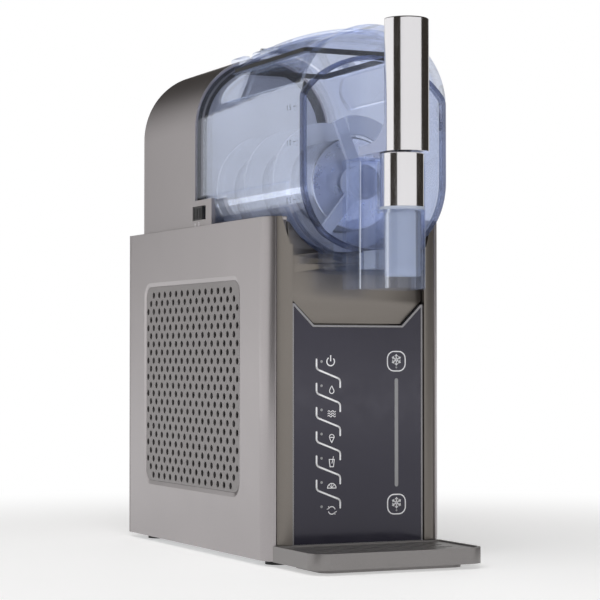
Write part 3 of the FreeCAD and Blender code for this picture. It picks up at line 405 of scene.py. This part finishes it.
def snowflake(marks, u, v, size):
    for i in range(6):
        a = math.radians(30 + 60 * i)
        reach = Vector((math.cos(a), math.sin(a)))
        tip = Vector((u, v)) + reach * size
        marks.line([(u, v), tuple(tip)], 1.1)
        fork = Vector((u, v)) + reach * size * 0.62
        for side in (-1, 1):
            barb = Vector((math.cos(a + side * 0.9), math.sin(a + side * 0.9))) * size * 0.34
            marks.line([tuple(fork), tuple(fork + barb)], 0.8)


def power_sign(marks, u, v):
    gap = math.radians(38)
    ring = circle(u, v, 3.6, 22, math.pi / 2 + gap, 2 * math.pi - 2 * gap)
    marks.line(ring, 1.0)
    marks.line([(u, v + 0.6), (u, v + 5.0)], 1.0)


def drop(marks, u, v):
    """A drop, for a plain iced drink."""
    bowl = circle(u, v - 1.2, 2.1, 14, math.radians(150), math.radians(240))
    marks.line([(u, v + 3.4)] + bowl, 0.7, closed=True)


def waves(marks, u, v):
    """Three level waves, for a thicker drink."""
    for row in (-2, 0, 2):
        swell = [(u - 3.6 + i * 0.6, v + row + 0.7 * math.sin(i * 1.05)) for i in range(13)]
        marks.line(swell, 0.6)


def cone(marks, u, v):
    """A soft-serve cone."""
    marks.line([(u - 2.3, v + 0.4), (u, v - 4.0), (u + 2.3, v + 0.4)], 0.7, closed=True)
    marks.line(circle(u, v + 0.6, 2.3, 10, 0, math.pi * 1.06), 0.7)


def tall_glass(marks, u, v):
    """A tall glass with a straw."""
    sides = [(u - 2.4, v + 2.2), (u - 1.6, v - 4.0), (u + 1.6, v - 4.0), (u + 2.4, v + 2.2)]
    marks.line(sides, 0.7, closed=True)
    marks.line([(u + 0.2, v - 1.0), (u + 1.6, v + 4.6)], 0.6)


def slice_of_fruit(marks, u, v):
    """A half slice of fruit."""
    rim = circle(u, v - 1.6, 4.0, 14, 0, math.pi * 1.07)
    marks.line(rim, 0.7, closed=True)
    for a in map(math.radians, (45, 90, 135)):
        marks.line([(u, v - 1.3), (u + 3.0 * math.cos(a), v - 1.3 + 3.0 * math.sin(a))], 0.5)


def ripple_ring(marks, u, v):
    """Two curved arrows, for rinsing."""
    for start in (20, 200):
        marks.line(circle(u, v, 3.2, 10, math.radians(start), math.radians(140)), 0.8)
        tip = math.radians(start + 128)
        at = Vector((u + 3.2 * math.cos(tip), v + 3.2 * math.sin(tip)))
        for turn in (-2.4, -0.7):
            barb = Vector((math.cos(tip + math.pi / 2 + turn), math.sin(tip + math.pi / 2 + turn))) * 1.7
            marks.line([tuple(at), tuple(at + barb)], 0.7)


def panel_marks():
    bright = Marks("panel_marks", *ON_PANEL, INK, "chassis", "light_white")
    dim = Marks("panel_dim_marks", *ON_PANEL, DIM_INK, "chassis", "light_white")
    signs = (power_sign, drop, waves, cone, tall_glass, slice_of_fruit, ripple_ring)
    for i, sign in enumerate(signs):
        v = HOOK_TOP - i * HOOK_STEP - 1.8
        if i < HOOKS:
            hook(bright, HOOK_TOP - i * HOOK_STEP)
        dim.disc(HOOK_LEFT + 4.7, v, 1.15)
        sign(bright, HOOK_LEFT + 13.3 + (1.0 if i else 0), v - (3.4 if i else 0))
    for v in BUTTONS_Z:
        bright.line(rounded_square(BUTTON_X, v, 8.6, 8.4, 6.2), 1.0, closed=True)
        snowflake(bright, BUTTON_X, v + 1.2, 4.3)
        dim.disc(BUTTON_X, v - 5.3, 0.9)
    dim.line([(BUTTON_X, BUTTONS_Z[0] - 16.4), (BUTTON_X, BUTTONS_Z[1] + 16.8)], 3.4)
    bright.done()
    dim.done()


DIGITS = {
    "0": [[(0, 0), (0, 2), (1, 2), (1, 0), (0, 0)]],
    "1": [[(0.2, 1.6), (0.6, 2), (0.6, 0)]],
    "5": [[(1, 2), (0, 2), (0, 1.1), (0.9, 1.1), (1, 0.9), (1, 0.15), (0.8, 0), (0, 0)]],
    ".": [[(0.4, 0), (0.5, 0.05)]],
}
LEVELS = ((139.7, "1.5"), (110.0, "1.0"), (61.5, "0.5"))     # litres, at heights above the vessel's foot
DASH_U, DIGIT_U = (-18.0, -13.5), -31.0                      # mm, level with the vessel's front at 0
LEVEL_LINE = 0.5


def level_marks():
    """Fill levels on the vessel's left wall, read from the left."""
    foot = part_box("vessel_body")[0]
    wall_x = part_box("window_seal")[0].x - 0.2 * MM
    marks = Marks("level_marks", (0, -1, 0), (0, 0, 1), (-1, 0, 0), (wall_x, foot.y, foot.z),
                  printed("level_ink", (0.10, 0.12, 0.18)), "vessel", "light_white")
    for level, digits in LEVELS:
        marks.line([(DASH_U[0], level), (DASH_U[1], level)], LEVEL_LINE)
        for i, digit in enumerate(digits):
            for stroke in DIGITS[digit]:
                points = [(DIGIT_U + i * 3.0 + u * 1.9, level - 2 + v * 2.0) for u, v in stroke]
                marks.line(points, LEVEL_LINE)
    marks.done()


def lock_marks():
    """Open and shut padlock under the left latch."""
    low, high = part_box("left_latch")
    wall_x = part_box("head_shell")[0].x
    origin = (wall_x, (low.y + high.y) / 2, low.z)
    marks = Marks("lock_marks", (0, -1, 0), (0, 0, 1), (-1, 0, 0), origin, INK, "chassis", "latch_grey")
    for u, lift in ((-4.5, 0.0), (4.5, 0.7)):
        marks.line([(u - 1.1, -5.4), (u + 1.1, -5.4), (u + 1.1, -4.0), (u - 1.1, -4.0)], 0.45, closed=True)
        marks.line(circle(u, -3.8 + lift, 0.8, 8, 0, math.pi * 1.1), 0.35)
    marks.done()


panel_marks()
level_marks()
lock_marks()


# --- stage, lights and camera ---
def lamp(name, azimuth, distance, height, width, tall, radiance, soft_only=False):
    """Softbox standing round the object; azimuth from the front towards the machine's -X side."""
    a = math.radians(azimuth)
    data = bpy.data.lights.new(name, "AREA")
    data.shape = "RECTANGLE"
    data.size = width
    data.size_y = tall
    data.energy = radiance * math.pi * width * tall
    made = bpy.data.objects.new(name, data)
    made.location = (-math.sin(a) * distance, -math.cos(a) * distance, height)
    towards = Vector((0, 0, 0.22)) - made.location
    made.rotation_euler = towards.to_track_quat("-Z", "Y").to_euler()
    made.visible_glossy = not soft_only
    bpy.context.scene.collection.objects.link(made)


def backdrop():
    bpy.ops.mesh.primitive_ico_sphere_add(subdivisions=5, radius=30)
    dome = bpy.context.object
    dome.name = "backdrop"
    t = Tree("backdrop_white")
    white = t.node("Emission", {"Color": (1, 1, 1, 1), "Strength": 1.0})
    dome.data.materials.append(t.surface(white.outputs["Emission"]))
    dome.visible_diffuse = False
    dome.visible_glossy = False
    dome.visible_transmission = False
    dome.visible_shadow = False


def floor():
    bpy.ops.mesh.primitive_plane_add(size=40)
    ground = bpy.context.object
    ground.name = "floor"
    t = Tree("floor_pale")
    far = t.node("VectorMath", {0: t.place}, operation="LENGTH").outputs["Value"]
    fade = t.node("MapRange", {"Value": far, "From Min": 0.35, "From Max": 0.9},
                  interpolation_type="SMOOTHSTEP")
    paper = t.node("BsdfPrincipled", {"Base Color": (0.85, 0.85, 0.85, 1), "Roughness": 0.7,
                                      "Emission Color": (1, 1, 1, 1), "Emission Strength": 0.42})
    white = t.node("Emission", {"Color": (1, 1, 1, 1), "Strength": 1.0})
    mixed = t.node("MixShader", {"Fac": fade.outputs["Result"], 1: paper.outputs["BSDF"],
                                 2: white.outputs["Emission"]})
    ground.data.materials.append(t.surface(mixed.outputs["Shader"]))


def studio():
    world = bpy.data.worlds.new("studio")
    world.use_nodes = True
    bpy.context.scene.world = world
    sky = world.node_tree.nodes["Background"]
    sky.inputs["Color"].default_value = (0.035, 0.030, 0.025, 1)
    sky.inputs["Strength"].default_value = 1.0
    lamp("front_softbox", 0, 3.2, 0.7, 8.2, 2.4, 0.90)
    lamp("side_softbox", 124, 3.0, 0.9, 4.2, 2.8, 1.0)
    lamp("right_softbox", -140, 3.0, 0.8, 2.4, 2.4, 0.7)
    lamp("upper_fill", 40, 2.0, 2.6, 2.6, 2.6, 2.6, True)
    scene = bpy.context.scene
    scene.view_settings.view_transform = "Standard"
    scene.cycles.transparent_max_bounces = 24
    data = bpy.data.cameras.new("camera")
    data.lens = 124.37
    data.sensor_width = 36
    data.clip_end = 100
    camera = bpy.data.objects.new("camera", data)
    camera.location = (-0.79099, -1.70575, 0.17829)
    camera.rotation_euler = (math.radians(91.522), 0, math.radians(-24.832))
    scene.collection.objects.link(camera)
    scene.camera = camera


backdrop()
floor()
studio()
